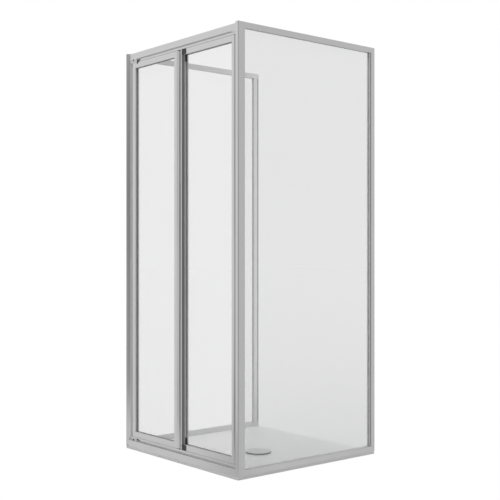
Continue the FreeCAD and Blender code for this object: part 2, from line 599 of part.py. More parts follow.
def leaf_a():
    """Leaf on the pivot side: round-nosed pivot stile, hinge stile, rails, pane and pivot pins."""
    wall = "Dim.profile_wall"
    glass_left = f"({LEAF_A_LEFT} + Dim.pivot_stile)"
    glass_right = f"({LEAF_A_RIGHT} - Dim.hinge_stile)"
    section = grooved("Dim.leaf_thickness", "Dim.pivot_stile", "Dim.leaf_groove", LEAF_GLAZING, wall)
    outer = swapped(section)[0]
    chamber = rectangle(f"(Dim.leaf_thickness / 2 + Dim.pivot_pin_radius + {wall})", wall,
                        f"(Dim.pivot_stile - Dim.leaf_groove - {wall})", f"(Dim.leaf_thickness - {wall})")
    stile = extrusion("pivot_bar", "XY_Plane", [outer, chamber], LEAF_HEIGHT,
                      (LEAF_A_LEFT, LEAF_FRONT, LEAF_BOTTOM))
    near_end = value("Dim.leaf_thickness / 4")
    round_uprights(stile, "Dim.leaf_thickness / 2 - Dim.nose_margin", lambda x, y: x < near_end)
    bores = end_bores("pivot", PIVOT_X, "Dim.pivot_pin_radius")
    node("leaf_a_pivot_stile", cut("pivot_stile_bored", stile, bores))
    end_pins("leaf_a", "pivot", PIVOT_X, "Dim.pivot_pin_radius")

    width = "Dim.hinge_stile"
    section = [
        ("0", "0"), ("Dim.hinge_stile_flat", "0"), (width, "Dim.hinge_stile_chamfer"),
        (width, "Dim.leaf_thickness"), ("0", "Dim.leaf_thickness"), ("0", GROOVE_FAR),
        ("Dim.leaf_groove", GROOVE_FAR), ("Dim.leaf_groove", GROOVE_NEAR), ("0", GROOVE_NEAR),
    ]
    chamber = rectangle(f"(Dim.leaf_groove + {wall})", f"(Dim.hinge_stile_chamfer + {wall})",
                        f"({width} - {wall})", f"(Dim.leaf_thickness - {wall})")
    node("leaf_a_hinge_stile", extrusion("hinge_bar", "XY_Plane", [section, chamber], LEAF_HEIGHT,
                                         (glass_right, LEAF_FRONT, LEAF_BOTTOM)))
    leaf_rails("leaf_a", glass_left, glass_right)
    leaf_glazing("leaf_a", glass_left, glass_right)


def leaf_b():
    """Leaf on the closing side: recessed pull stile, round-nosed stile, rails, pane and guide pins."""
    wall = "Dim.profile_wall"
    width = "Dim.pull_stile"
    glass_left = f"({LEAF_B_LEFT} + {width})"
    glass_right = f"({LEAF_B_RIGHT} - Dim.closing_stile)"
    recess_end = "(Dim.pull_lip + Dim.pull_recess)"
    groove_floor = f"({width} - Dim.leaf_groove)"
    section = [
        ("0", "0"), ("Dim.pull_lip", "0"), ("Dim.pull_lip", "Dim.pull_recess_depth"),
        (recess_end, "Dim.pull_recess_depth"), (recess_end, "0"), (width, "0"), (width, GROOVE_NEAR),
        (groove_floor, GROOVE_NEAR), (groove_floor, GROOVE_FAR), (width, GROOVE_FAR),
        (width, "Dim.leaf_thickness"), ("0", "Dim.leaf_thickness"),
    ]
    chamber = rectangle(wall, f"(Dim.pull_recess_depth + {wall})", f"({groove_floor} - {wall})",
                        f"(Dim.leaf_thickness - {wall})")
    node("leaf_b_pull_stile", extrusion("pull_bar", "XY_Plane", [section, chamber], LEAF_HEIGHT,
                                        (LEAF_B_LEFT, LEAF_FRONT, LEAF_BOTTOM)))

    section = grooved("Dim.leaf_thickness", "Dim.closing_stile", "Dim.closing_groove", LEAF_GLAZING, wall)[:1]
    section = swapped(turned_over(section, "Dim.closing_stile"))
    stile = extrusion("closing_bar", "XY_Plane", section, LEAF_HEIGHT, (glass_right, LEAF_FRONT, LEAF_BOTTOM))
    far_end = value("Dim.closing_stile - Dim.leaf_thickness / 4")
    round_uprights(stile, "Dim.leaf_thickness / 2 - Dim.nose_margin", lambda x, y: x > far_end)
    bores = end_bores("guide", GUIDE_X, "Dim.guide_pin_radius")
    node("leaf_b_closing_stile", cut("closing_stile_bored", stile, bores))
    end_pins("leaf_b", "guide", GUIDE_X, "Dim.guide_pin_radius")
    leaf_rails("leaf_b", glass_left, glass_right)
    leaf_glazing("leaf_b", glass_left, glass_right)


def grip():
    """Ribbed insert in the pull stile's recess, and the plugs that close the recess at both ends."""
    left = f"({LEAF_B_LEFT} + Dim.pull_lip + Dim.grip_clearance)"
    width = "(Dim.pull_recess - 2 * Dim.grip_clearance)"
    ribs = int(value("Dim.grip_ribs"))
    pitch = f"({width} / (2 * Dim.grip_ribs + 1))"
    height = "Dim.grip_rib_height"
    comb = [("0", height)]
    for i in range(ribs):
        start = f"({2 * i + 1} * {pitch})"
        end = f"({2 * i + 2} * {pitch})"
        comb += [(start, height), (start, "0"), (end, "0"), (end, height)]
    depth = f"({height} + Dim.grip_base)"
    comb += [(width, height), (width, depth), ("0", depth)]
    front = f"({LEAF_FRONT} + Dim.pull_recess_depth - {depth})"
    node("grip_insert", extrusion("grip_comb", "XY_Plane", [comb], f"{LEAF_HEIGHT} - 2 * Dim.plug_height",
                                  (left, front, f"{LEAF_BOTTOM} + Dim.plug_height")))
    size = (width, "Dim.pull_recess_depth", "Dim.plug_height")
    plugs = [
        box(f"grip_plug_{i}", size, (left, LEAF_FRONT, level))
        for i, level in enumerate((LEAF_BOTTOM, f"{LEAF_TOP} - Dim.plug_height"))
    ]
    node("grip_end_plugs", group("grip_plugs", plugs))


def centre_hinge():
    """Full-height hinge between the leaves: two flanges with alternate knuckles on one long pin."""
    low = f"({LEAF_BOTTOM} + Dim.knuckle_end_inset)"
    length = f"({LEAF_HEIGHT} - 2 * Dim.knuckle_end_inset)"
    count = int(value("Dim.knuckle_count"))
    knuckle = f"(({length} - (Dim.knuckle_count - 1) * Dim.knuckle_gap) / Dim.knuckle_count)"
    web_width = "(Dim.hinge_gap / 2 - Dim.flange_thickness - Dim.web_inside)"
    flange_y = f"({LEAF_FRONT} + Dim.flange_setback)"
    flange_b = f"{LEAF_B_LEFT} - Dim.flange_thickness"
    sides = {
        "a": (LEAF_A_RIGHT, f"{LEAF_A_RIGHT} + Dim.flange_thickness", 0),
        "b": (flange_b, f"{flange_b} - {web_width}", 1),
    }
    for leaf, (flange_x, web_x, first) in sides.items():
        members = [box(f"hinge_{leaf}_flange", ("Dim.flange_thickness", "Dim.flange_depth", length),
                       (flange_x, flange_y, low))]
        for i in range(first, count, 2):
            level = f"({low} + {i} * ({knuckle} + Dim.knuckle_gap))"
            members.append(rod(f"knuckle_{i}", "Dim.knuckle_radius", knuckle, (HINGE_X, LEAF_FRONT, level)))
            web_size = (web_width, "Dim.web_depth", knuckle)
            members.append(box(f"knuckle_web_{i}", web_size, (web_x, LEAF_FRONT, level)))
        bore = rod(f"hinge_{leaf}_bore", "Dim.hinge_pin_radius + Dim.running_clearance", length,
                   (HINGE_X, LEAF_FRONT, low))
        blank = fuse(f"hinge_{leaf}_blank", members)
        node(f"centre_hinge_leaf_{leaf}", cut(f"hinge_{leaf}_body", blank, bore))
    node("centre_hinge_pin", rod("hinge_rod", "Dim.hinge_pin_radius", length, (HINGE_X, LEAF_FRONT, low)))


def track_blocks():
    """Bushes fixed in the tracks for the pivot pins, and shoes that slide in them on the guide pins."""
    bush_size = ("Dim.bush_length", "(Dim.slot_width - 2 * Dim.bush_clearance)", "Dim.bush_height")
    shoe_size = ("Dim.shoe_length", "Dim.shoe_width", "Dim.shoe_height")
    blocks = (
        ("pivot_bush", PIVOT_X, bush_size, "Dim.bush_lift", "Dim.pivot_pin_radius"),
        ("guide_shoe", GUIDE_X, shoe_size, "Dim.shoe_lift", "Dim.guide_pin_radius"),
    )
    for kind, x, size, lift, radius in blocks:
        levels = {"top": f"({HEAD_BOTTOM} + {lift})", "bottom": f"({SILL_TOP} - {lift} - {size[2]})"}
        for end, level in levels.items():
            corner = (f"{x} - {size[0]} / 2", f"{LEAF_MIDDLE} - {size[1]} / 2", level)
            block = box(f"{kind}_{end}_block", size, corner)
            bored = f"{radius} + Dim.running_clearance"
            bore = rod(f"{kind}_{end}_bore", bored, size[2], (x, LEAF_MIDDLE, level))
            node(f"{kind}_{end}", cut(f"{kind}_{end}_bored", block, bore))


def main():
    tray()
    waste()
    hinge_holes = jamb_screws("hinge", -1)
    strike_holes = jamb_screws("strike", 1)
    side_panel("left", -1, hinge_holes)
    side_panel("right", 1, strike_holes)
    head_track()
    sill_track()
    jamb("hinge", -1, hinge_holes)
    jamb("strike", 1, strike_holes)
    leaf_a()
    leaf_b()
    grip()
    centre_hinge()
    track_blocks()

    doc.recompute()
    failed = [obj.Label for obj in doc.Objects if "Invalid" in obj.State or "Error" in obj.State]
    unsound = [obj.Label for obj in NODES if obj.Shape.isNull() or not obj.Shape.isValid()]
    if failed or unsound:
        raise RuntimeError(f"failed: {failed}, unsound: {unsound}")
    os.makedirs("parts", exist_ok=True)
    for obj in NODES:
        obj.Shape.exportStep(f"parts/{obj.Label}.step")
    print(f"{len(NODES)} sub-parts written")


main()
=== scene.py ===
import json
import math

import bmesh
import bpy
from bpy.props import FloatProperty, FloatVectorProperty, IntProperty, PointerProperty
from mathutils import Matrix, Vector


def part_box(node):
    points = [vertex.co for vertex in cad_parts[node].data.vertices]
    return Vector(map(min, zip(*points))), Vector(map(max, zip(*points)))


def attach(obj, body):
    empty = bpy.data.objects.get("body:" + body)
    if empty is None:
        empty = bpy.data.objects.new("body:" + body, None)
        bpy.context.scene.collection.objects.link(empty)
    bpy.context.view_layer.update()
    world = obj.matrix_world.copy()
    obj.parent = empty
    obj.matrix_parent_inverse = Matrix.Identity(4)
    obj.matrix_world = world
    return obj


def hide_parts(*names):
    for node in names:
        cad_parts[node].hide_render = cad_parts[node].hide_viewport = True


bl_info = {
    "name": "Shower enclosure",
    "version": (1, 0, 0),
    "blender": (4, 5, 0),
    "location": "View3D > Sidebar > Shower",
    "description": "Dresses a framed glass shower enclosure with a folding door, and its studio",
    "category": "Object",
}

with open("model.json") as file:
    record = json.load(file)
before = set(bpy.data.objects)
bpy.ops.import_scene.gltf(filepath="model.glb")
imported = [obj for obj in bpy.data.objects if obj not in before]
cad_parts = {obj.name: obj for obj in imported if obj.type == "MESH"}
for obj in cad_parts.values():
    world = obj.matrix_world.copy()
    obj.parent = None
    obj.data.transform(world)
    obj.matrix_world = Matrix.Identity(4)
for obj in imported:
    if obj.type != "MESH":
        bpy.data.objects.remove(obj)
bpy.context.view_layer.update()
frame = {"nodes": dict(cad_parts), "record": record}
NODES = frame["nodes"]
SLOT_NODES = {}
for part in frame["record"]["subparts"]:
    SLOT_NODES.setdefault(part["material_slot"], []).append(part["node"])

# Level directions at right angles, roughly towards the camera and towards the picture's left.
TO_CAMERA = (0.633, -0.774, 0)
TO_LEFT = (-0.774, -0.633, 0)
# Camera's sensor in millimetres and its far limit, then the floor's half side and its own grey.
SENSOR_WIDTH = 36
VIEW_END = 100
FLOOR_REACH = 40
FLOOR_GREY = 0.8
# Where most values of a noise texture lie.
NOISE_LOW, NOISE_HIGH = 0.3, 0.7
# Rounding of the profiles: which points are one, which faces are one, and which edges are sharp.
SAME_POINT = 0.00001
SAME_FACE = math.radians(1)
SHARP_EDGE = math.radians(40)
# Rounding of the small blocks' edges.
TRACK_END_EDGE = 0.0003
DOT_EDGE = 0.0001
CLIP_EDGE = 0.0006
LEG_EDGE = 0.0005
# Side of a track end's plug over its depth, and length of a screw's slot over its width.
DOT_RATIO = 10
SLOT_RATIO = 4
# Steps of the round shapes, and the drain cover's legs, which stand square to the axes.
HEAD_SIDES = 40
SHANK_SIDES = 24
COVER_SIDES = 120
DOME_STEPS = 12
RIM_STEPS = 4
LEG_COUNT = 4


class ProfileSettings(bpy.types.PropertyGroup):
    """Satin aluminium of the posts, rails, stiles, jambs and tracks."""
    colour: FloatVectorProperty(name="Colour", description="Anodised silver", subtype="COLOR", size=3,
                                min=0, max=1, default=(0.61, 0.61, 0.61))
    roughness: FloatProperty(name="Roughness", description="Satin of the anodising", subtype="FACTOR",
                             min=0, max=1, default=0.36)
    line_width: FloatProperty(name="Die line width", description="Width of the drawing lines along a profile",
                              unit="LENGTH", min=0.0001, default=0.0009)
    edge: FloatProperty(name="Edge", description="Rounding of a profile's sharp edges", unit="LENGTH",
                        min=0, default=0.0004)


class GlazingSettings(bpy.types.PropertyGroup):
    """Clear panes and the gaskets that hold them."""
    glass: FloatVectorProperty(name="Glass", description="Tint of the panes", subtype="COLOR", size=3,
                               min=0, max=1, default=(0.66, 0.67, 0.67))
    right_opacity: FloatProperty(name="Right pane", description="How much each face of the right pane dims",
                                 subtype="FACTOR", min=0, max=1, default=0.187)
    left_opacity: FloatProperty(name="Left pane", description="How much each face of the left pane dims",
                                subtype="FACTOR", min=0, max=1, default=0.02)
    leaf_opacity: FloatProperty(name="Door panes", description="How much each face of a door pane dims",
                                subtype="FACTOR", min=0, max=1, default=0.137)
    # Painted reflection of the floor: these make the panes more opaque, so darker, toward their foot.
    painted_floor_reflection: FloatProperty(name="Foot of the right pane",
                                description="How much more it dims at its foot", subtype="FACTOR",
                                min=0, max=1, default=0.135)
    painted_leaf_floor_reflection: FloatProperty(name="Foot of the door panes", description="How much more they dim at the foot",
                             subtype="FACTOR", min=0, max=1, default=0.05)
    painted_reflection_height: FloatProperty(name="Foot height", description="Height up to which a pane's foot is deeper",
                               unit="LENGTH", min=0.1, default=0.9)
    panel_gasket: FloatVectorProperty(name="Fixed gasket", description="Gasket of the fixed panes",
                                      subtype="COLOR", size=3, min=0, max=1, default=(0.90, 0.90, 0.90))
    leaf_gasket: FloatVectorProperty(name="Door gasket", description="Gaskets and edge seals of the door",
                                     subtype="COLOR", size=3, min=0, max=1, default=(0.45, 0.45, 0.45))
    track_seal: FloatVectorProperty(name="Track seal", description="Strips in the tracks' grooves",
                                    subtype="COLOR", size=3, min=0, max=1, default=(0.66, 0.66, 0.66))
    wall_seal: FloatVectorProperty(name="Wall seal", description="Strips at the wall profiles",
                                   subtype="COLOR", size=3, min=0, max=1, default=(0.04, 0.04, 0.04))


class FittingSettings(bpy.types.PropertyGroup):
    """Grip, plastic blocks, pins, screws and the drain."""
    grip: FloatVectorProperty(name="Grip", description="Ribbed grip insert", subtype="COLOR", size=3,
                              min=0, max=1, default=(0.24, 0.24, 0.24))
    plastic: FloatVectorProperty(name="Plastic", description="Plugs, bushes and shoes", subtype="COLOR",
                                 size=3, min=0, max=1, default=(0.022, 0.022, 0.022))
    steel: FloatVectorProperty(name="Steel", description="Pins and screws", subtype="COLOR", size=3,
                               min=0, max=1, default=(0.62, 0.62, 0.62))
    drain: FloatVectorProperty(name="Drain", description="Drain cover and waste flange", subtype="COLOR",
                               size=3, min=0, max=1, default=(0.60, 0.60, 0.60))
    screw_count: IntProperty(name="Screws", description="Screws in each jamb", min=2, default=2)
    shank: FloatProperty(name="Screw shank", description="Radius of a screw's shank", unit="LENGTH",
                         min=0.0005, default=0.00175)
    head_height: FloatProperty(name="Screw head", description="Height of a screw's countersunk head",
                               unit="LENGTH", min=0.0005, default=0.0022)
    recess: FloatProperty(name="Screw recess", description="Length of a screw's cross recess", unit="LENGTH",
                          min=0.001, default=0.0042)
    recess_depth: FloatProperty(name="Recess depth", description="Depth of a screw's cross recess",
                                unit="LENGTH", min=0.0002, default=0.0012)
    left_end: FloatProperty(name="Left track end", description="Length of the track's end on the pivot side",
                            unit="LENGTH", min=0.001, default=0.057)
    right_end: FloatProperty(name="Right track end",
                             description="Length of the track's end on the closing side", unit="LENGTH",
                             min=0.001, default=0.037)
    end_thickness: FloatProperty(name="Track end thickness", description="Thickness of a track's end",
                                 unit="LENGTH", min=0.0005, default=0.0018)
    dot: FloatProperty(name="Dot", description="Side of the dark plug in a track's end", unit="LENGTH",
                       min=0.001, default=0.008)
    plate: FloatProperty(name="Plate", description="Thickness of the door's black plates", unit="LENGTH",
                         min=0.0002, default=0.0006)
    plate_gap: FloatProperty(name="Plate gap", description="Room behind a plate", unit="LENGTH", min=0,
                             default=0.0002)
    plug_reach: FloatProperty(name="Plug reach", description="How far a grip plug's face laps over the rail",
                              unit="LENGTH", min=0, default=0.012)
    wedge_width: FloatProperty(name="Wedge width", description="Width of the black wedge at the pivots",
                               unit="LENGTH", min=0.001, default=0.032)
    wedge_height: FloatProperty(name="Wedge height", description="Height of the wedge at the top pivot",
                                unit="LENGTH", min=0.001, default=0.020)
    low_wedge: FloatProperty(name="Low wedge height", description="Height of the wedge at the bottom pivot",
                             unit="LENGTH", min=0.001, default=0.007)
    clip_width: FloatProperty(name="Clip width", description="Width of a pane clip", unit="LENGTH", min=0.001,
                              default=0.008)
    clip_height: FloatProperty(name="Clip height", description="Height of a pane clip", unit="LENGTH",
                               min=0.001, default=0.030)
    clip_thickness: FloatProperty(name="Clip thickness", description="Thickness of a pane clip",
                                  unit="LENGTH", min=0.0005, default=0.003)
    cover_edge: FloatProperty(name="Cover edge", description="Thickness of the drain cover at its rim",
                              unit="LENGTH", min=0.001, default=0.003)
    cover_base: FloatProperty(name="Cover base", description="Height of the black base under the drain cover",
                              unit="LENGTH", min=0.0005, default=0.0021)
    # Painted shade: the base's skirt fills the shadowed gap under the drain cover with black.
    painted_shade_skirt: FloatProperty(name="Cover skirt", description="How far that base reaches below the cover",
                               unit="LENGTH", min=0, default=0.003)
    cover_dome: FloatProperty(name="Cover dome", description="Rise of the drain cover's dome", unit="LENGTH",
                              min=0, default=0.004)
    cover_round: FloatProperty(name="Cover rounding", description="Rounding of the drain cover's rim",
                               unit="LENGTH", min=0, default=0.0005)
    leg_radius: FloatProperty(name="Leg place", description="Radius of the legs' outer faces", unit="LENGTH",
                              min=0.001, default=0.0395)
    leg_thickness: FloatProperty(name="Leg thickness", description="Thickness of a leg", unit="LENGTH",
                                 min=0.0005, default=0.003)
    leg_width: FloatProperty(name="Leg width", description="Width of a leg", unit="LENGTH", min=0.001,
                             default=0.012)


class TraySettings(bpy.types.PropertyGroup):
    """Gloss acrylic of the tray."""
    colour: FloatVectorProperty(name="Colour", description="White acrylic", subtype="COLOR", size=3,
                                min=0, max=1, default=(0.79, 0.79, 0.79))
    roughness: FloatProperty(name="Roughness", description="Gloss of the tray", subtype="FACTOR",
                             min=0, max=1, default=0.35)


class StageSettings(bpy.types.PropertyGroup):
    """Camera, light and floor."""
    camera_place: FloatVectorProperty(name="Camera place", description="Where the camera stands", size=3,
                                      subtype="TRANSLATION", unit="LENGTH",
                                      default=(3.41443, -2.77869, 0.91823))
    camera_turn: FloatProperty(name="Camera turn", description="Turn of the level camera about the vertical",
                               subtype="ANGLE", default=math.radians(49.685))
    lens: FloatProperty(name="Lens", description="Focal length on the sensor", subtype="DISTANCE_CAMERA",
                        default=67.969)
    rise: FloatProperty(name="Rise", description="Vertical shift that sets the horizon", default=0.00732)
    slide: FloatProperty(name="Slide", description="Sideways shift of the picture", default=-0.0358)
    white: FloatProperty(name="White", description="Backdrop as the camera sees it", default=1.0)
    soft_level: FloatProperty(name="Soft light", description="Light that the room gives from all round",
                              default=0.43)
    soft_gain: FloatProperty(name="Soft gain", description="How much brighter that light is from the left",
                             default=0.13)
    metal_level: FloatProperty(name="Metal light", description="Backdrop as metal shows it", default=0.92)
    left_gain: FloatProperty(name="Left gain", description="How much paler the backdrop is by the pivots",
                             default=0.12)
    camera_dim: FloatProperty(name="Camera side", description="How much dimmer the room is behind the camera",
                              default=0.66)
    floor_level: FloatProperty(name="Floor light", description="Floor as metal shows it", default=0.84)
    floor_gain: FloatProperty(name="Floor gain", description="How much paler that floor is by the pivots",
                              default=0.08)
    floor_dim: FloatProperty(name="Floor dimming", description="How much dimmer that floor is by the camera",
                             default=0.60)
    floor_start: FloatProperty(name="Floor start", description="Where that floor begins to dim",
                               unit="LENGTH", default=0.40)
    floor_reach: FloatProperty(name="Floor reach", description="Way over which that floor dims",
                               unit="LENGTH", min=0.1, default=0.35)
    floor_middle: FloatProperty(name="Dim middle", description="Middle of the dim strip, towards the left",
                                unit="LENGTH", default=0.58)
    floor_drift: FloatProperty(name="Dim drift", description="How fast the dim strip runs to the right",
                               default=0.2)
    floor_side: FloatProperty(name="Dim side", description="Half width of the dim strip", unit="LENGTH",
                              min=0.1, default=0.5)
    floor_spread: FloatProperty(name="Dim spread", description="How fast the dim strip widens", default=1.0)
    floor_white: FloatProperty(name="Floor white", description="Share of the shadow that is left out",
                               subtype="FACTOR", min=0, max=1, default=0.98)
    floor_lift: FloatProperty(name="Floor lift", description="Makes the open floor as white as the backdrop",
                              default=1.0135)
    top_power: FloatProperty(name="Top lamp", description="Power of the soft lamp overhead", subtype="POWER",
                             default=105.0)
    top_size: FloatProperty(name="Top lamp size", description="Side of the soft lamp overhead", unit="LENGTH",
                            default=2.4)
    top_height: FloatProperty(name="Top lamp height", description="Height of the soft lamp", unit="LENGTH",
                              default=4.2)
    card_power: FloatProperty(name="Card", description="Power of the soft card behind the open side",
                              subtype="POWER", default=3.8)
    card_width: FloatProperty(name="Card width", description="Width of that card", unit="LENGTH", default=1.0)
    card_height: FloatProperty(name="Card height", description="Height of that card", unit="LENGTH",
                               default=2.2)
    card_place: FloatVectorProperty(name="Card place", description="Middle of that card", size=3,
                                    subtype="TRANSLATION", unit="LENGTH", default=(0.2, 0.95, 1.0))


class ShowerSettings(bpy.types.PropertyGroup):
    """Settings of the enclosure and its studio."""
    profiles: PointerProperty(type=ProfileSettings)
    glazing: PointerProperty(type=GlazingSettings)
    fittings: PointerProperty(type=FittingSettings)
    tray: PointerProperty(type=TraySettings)
    stage: PointerProperty(type=StageSettings)


def settings():
    """All settings of the add-on, kept on the scene."""
    return bpy.context.scene.shower


def new_material(name):
    """Node material, with its tree and its shader."""
    material = bpy.data.materials.new(name)
    material.use_nodes = True
    tree = material.node_tree
    shader = next(node for node in tree.nodes if node.type == "BSDF_PRINCIPLED")
    return material, tree, shader


def object_space(tree, scale=(1, 1, 1), centre=(0, 0, 0)):
    """Object coordinates, moved so that a centre is the origin, then scaled."""
    coordinates = tree.nodes.new("ShaderNodeTexCoord")
    mapping = tree.nodes.new("ShaderNodeMapping")
    mapping.inputs["Scale"].default_value = scale
    mapping.inputs["Location"].default_value = [-c * s for c, s in zip(centre, scale)]
    tree.links.new(coordinates.outputs["Object"], mapping.inputs["Vector"])
    return mapping.outputs["Vector"]


def maths(tree, operation, a, b=0.0):
    """Result of one operation on numbers or sockets."""
    node = tree.nodes.new("ShaderNodeMath")
    node.operation = operation
    for socket, value in zip(node.inputs, (a, b)):
        if isinstance(value, (int, float)):
            socket.default_value = value
        else:
            tree.links.new(value, socket)
    return node.outputs["Value"]


def along(tree, vector, direction):
    """How far a vector reaches along a direction."""
    dot = tree.nodes.new("ShaderNodeVectorMath")
    dot.operation = "DOT_PRODUCT"
    dot.inputs[1].default_value = direction
    tree.links.new(vector, dot.inputs[0])
    return dot.outputs["Value"]


def noise(tree, vector, scale, detail=3.0):
    """Smooth random value along a vector."""
    texture = tree.nodes.new("ShaderNodeTexNoise")
    texture.inputs["Scale"].default_value = scale
    texture.inputs["Detail"].default_value = detail
    tree.links.new(vector, texture.inputs["Vector"])
    return texture.outputs["Fac"]


def remap(tree, value, low, high):
    """Spread a noise value over a range."""
    node = tree.nodes.new("ShaderNodeMapRange")
    node.inputs["From Min"].default_value = NOISE_LOW
    node.inputs["From Max"].default_value = NOISE_HIGH
    node.inputs["To Min"].default_value = low
    node.inputs["To Max"].default_value = high
    tree.links.new(value, node.inputs["Value"])
    return node.outputs["Result"]


def vary(tree, shader, colour, value, amount):
    """Base colour that wanders a little about the given one."""
    mix = tree.nodes.new("ShaderNodeMix")
    mix.data_type = "RGBA"
    mix.inputs["A"].default_value = (*[c * (1 - amount) for c in colour], 1)
    mix.inputs["B"].default_value = (*[min(1, c * (1 + amount)) for c in colour], 1)
    tree.links.new(value, mix.inputs["Factor"])
    tree.links.new(mix.outputs["Result"], shader.inputs["Base Color"])


def bump(tree, shader, value, distance, strength=1.0):
    """Small relief from a value."""
    node = tree.nodes.new("ShaderNodeBump")
    node.inputs["Distance"].default_value = distance
    node.inputs["Strength"].default_value = strength
    tree.links.new(value, node.inputs["Height"])
    tree.links.new(node.outputs["Normal"], shader.inputs["Normal"])


def satin_aluminium(axis):
    """Anodised silver with fine drawing lines along a profile's own axis."""
    s = settings().profiles
    material, tree, shader = new_material(f"satin_aluminium_{'xyz'[axis]}")
    across = 1 / s.line_width
    lengthwise = 4.0
    scale = [lengthwise if i == axis else across for i in range(3)]
    lines = noise(tree, object_space(tree, scale), scale=1.0, detail=2.0)
    cloud = noise(tree, object_space(tree), scale=9.0, detail=4.0)
    vary(tree, shader, s.colour, cloud, amount=0.03)
    shader.inputs["Metallic"].default_value = 1.0
    spread = 0.06
    rough = remap(tree, lines, s.roughness - spread, s.roughness + spread)
    tree.links.new(rough, shader.inputs["Roughness"])
    bump(tree, shader, lines, distance=0.00002)
    return material


def clear_glass(name, opacity, foot=0.0):
    """Clear pane: mostly see-through, deeper at its foot as a painted reflection of the floor, with a gloss
    and a faint film.
    """
    material, tree, shader = new_material(name)
    # Painted reflection of the floor: the opacity grows toward the pane's foot.
    height = along(tree, object_space(tree), (0, 0, 1))
    near = maths(tree, "SUBTRACT", 1.0, maths(tree, "DIVIDE", height, settings().glazing.painted_reflection_height))
    near = maths(tree, "POWER", maths(tree, "MAXIMUM", near, 0.0), 2.0)
    alpha = maths(tree, "ADD", opacity, maths(tree, "MULTIPLY", near, foot))
    film = noise(tree, object_space(tree, scale=(3, 3, 1)), scale=5.0, detail=6.0)
    vary(tree, shader, settings().glazing.glass, film, amount=0.02)
    tree.links.new(remap(tree, film, low=0.02, high=0.05), shader.inputs["Roughness"])
    tree.links.new(alpha, shader.inputs["Alpha"])
    shader.inputs["IOR"].default_value = 1.5
    return material


def soft_rubber(name, colour):
    """Extruded rubber: dull, with a fine tooth."""
    material, tree, shader = new_material(name)
    tooth = noise(tree, object_space(tree), scale=900.0, detail=3.0)
    cloud = noise(tree, object_space(tree), scale=14.0, detail=4.0)
    vary(tree, shader, colour, cloud, amount=0.15)
    tree.links.new(remap(tree, cloud, low=0.5, high=0.68), shader.inputs["Roughness"])
    bump(tree, shader, tooth, distance=0.00005)
    return material


def moulded_plastic():
    """Black moulded plastic with a spark-eroded grain."""
    s = settings().fittings
    material, tree, shader = new_material("moulded_plastic")
    grain = noise(tree, object_space(tree), scale=1400.0, detail=2.0)
    vary(tree, shader, s.plastic, noise(tree, object_space(tree), scale=40.0), amount=0.2)
    tree.links.new(remap(tree, grain, low=0.38, high=0.55), shader.inputs["Roughness"])
    bump(tree, shader, grain, distance=0.00003)
    return material


def bright_steel():
    """Turned steel of pins and screws."""
    s = settings().fittings
    material, tree, shader = new_material("bright_steel")
    lines = noise(tree, object_space(tree, scale=(60, 60, 4000)), scale=1.0, detail=2.0)
    vary(tree, shader, s.steel, noise(tree, object_space(tree), scale=60.0), amount=0.05)
    shader.inputs["Metallic"].default_value = 1.0
    tree.links.new(remap(tree, lines, low=0.18, high=0.32), shader.inputs["Roughness"])
    bump(tree, shader, lines, distance=0.00001)
    return material


def turned_metal():
    """Satin metal of the drain, with turning rings about its own centre."""
    s = settings().fittings
    material, tree, shader = new_material("turned_metal")
    low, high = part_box("drain_cover")
    centre = [(a + b) / 2 for a, b in zip(low, high)]
    rings = tree.nodes.new("ShaderNodeTexWave")
    rings.wave_type = "RINGS"
    rings.rings_direction = "Z"
    rings.inputs["Scale"].default_value = 260.0
    rings.inputs["Distortion"].default_value = 0.6
    tree.links.new(object_space(tree, centre=centre), rings.inputs["Vector"])
    vary(tree, shader, s.drain, noise(tree, object_space(tree), scale=30.0), amount=0.04)
    shader.inputs["Metallic"].default_value = 1.0
    tree.links.new(remap(tree, rings.outputs["Fac"], low=0.3, high=0.4), shader.inputs["Roughness"])
    bump(tree, shader, rings.outputs["Fac"], distance=0.00002, strength=0.4)
    return material


def gloss_acrylic():
    """White acrylic: a gloss coat over a body with the slightest orange peel."""
    s = settings().tray
    material, tree, shader = new_material("gloss_acrylic")
    peel = noise(tree, object_space(tree), scale=120.0, detail=2.0)
    vary(tree, shader, s.colour, noise(tree, object_space(tree), scale=5.0), amount=0.012)
    rough = remap(tree, peel, low=s.roughness - 0.04, high=s.roughness + 0.06)
    tree.links.new(rough, shader.inputs["Roughness"])
    bump(tree, shader, peel, distance=0.00004)
    return material


def dress(nodes, material):
    """Give a material to CAD nodes."""
    for name in nodes:
        slots = NODES[name].material_slots
        if slots:
            slots[0].material = material
        else:
            NODES[name].data.materials.append(material)


def ease_edges(name, width):
    """Round a profile's sharp edges a little, as a drawn profile's are."""
    piece = NODES[name]
    weld = piece.modifiers.new("weld", "WELD")
    weld.merge_threshold = SAME_POINT
    flat = piece.modifiers.new("flat", "DECIMATE")
    flat.decimate_type = "DISSOLVE"
    flat.angle_limit = SAME_FACE
    bevel = piece.modifiers.new("edge", "BEVEL")
    bevel.width = width
    bevel.segments = 2
    bevel.limit_method = "ANGLE"
    bevel.angle_limit = SHARP_EDGE
    bevel.loop_slide = False


def finish_piece(piece, body, slot, material, *nodes):
    """Put a new piece on its body, in place of CAD nodes where some are named."""
    piece.data.materials.clear()
    piece.data.materials.append(material)
    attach(piece, body)
    if nodes:
        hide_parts(*nodes)


class SHOWER_OT_profiles(bpy.types.Operator):
    """Satin aluminium on every profile of the frame and the door"""
    bl_idname = "shower.profiles"
    bl_label = "Profiles"

    def execute(self, context):
        metals = [satin_aluminium(axis) for axis in range(3)]
        for name in SLOT_NODES["silver_aluminium"]:
            low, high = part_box(name)
            sides = [b - a for a, b in zip(low, high)]
            dress([name], metals[sides.index(max(sides))])
            ease_edges(name, settings().profiles.edge)
        return {"FINISHED"}


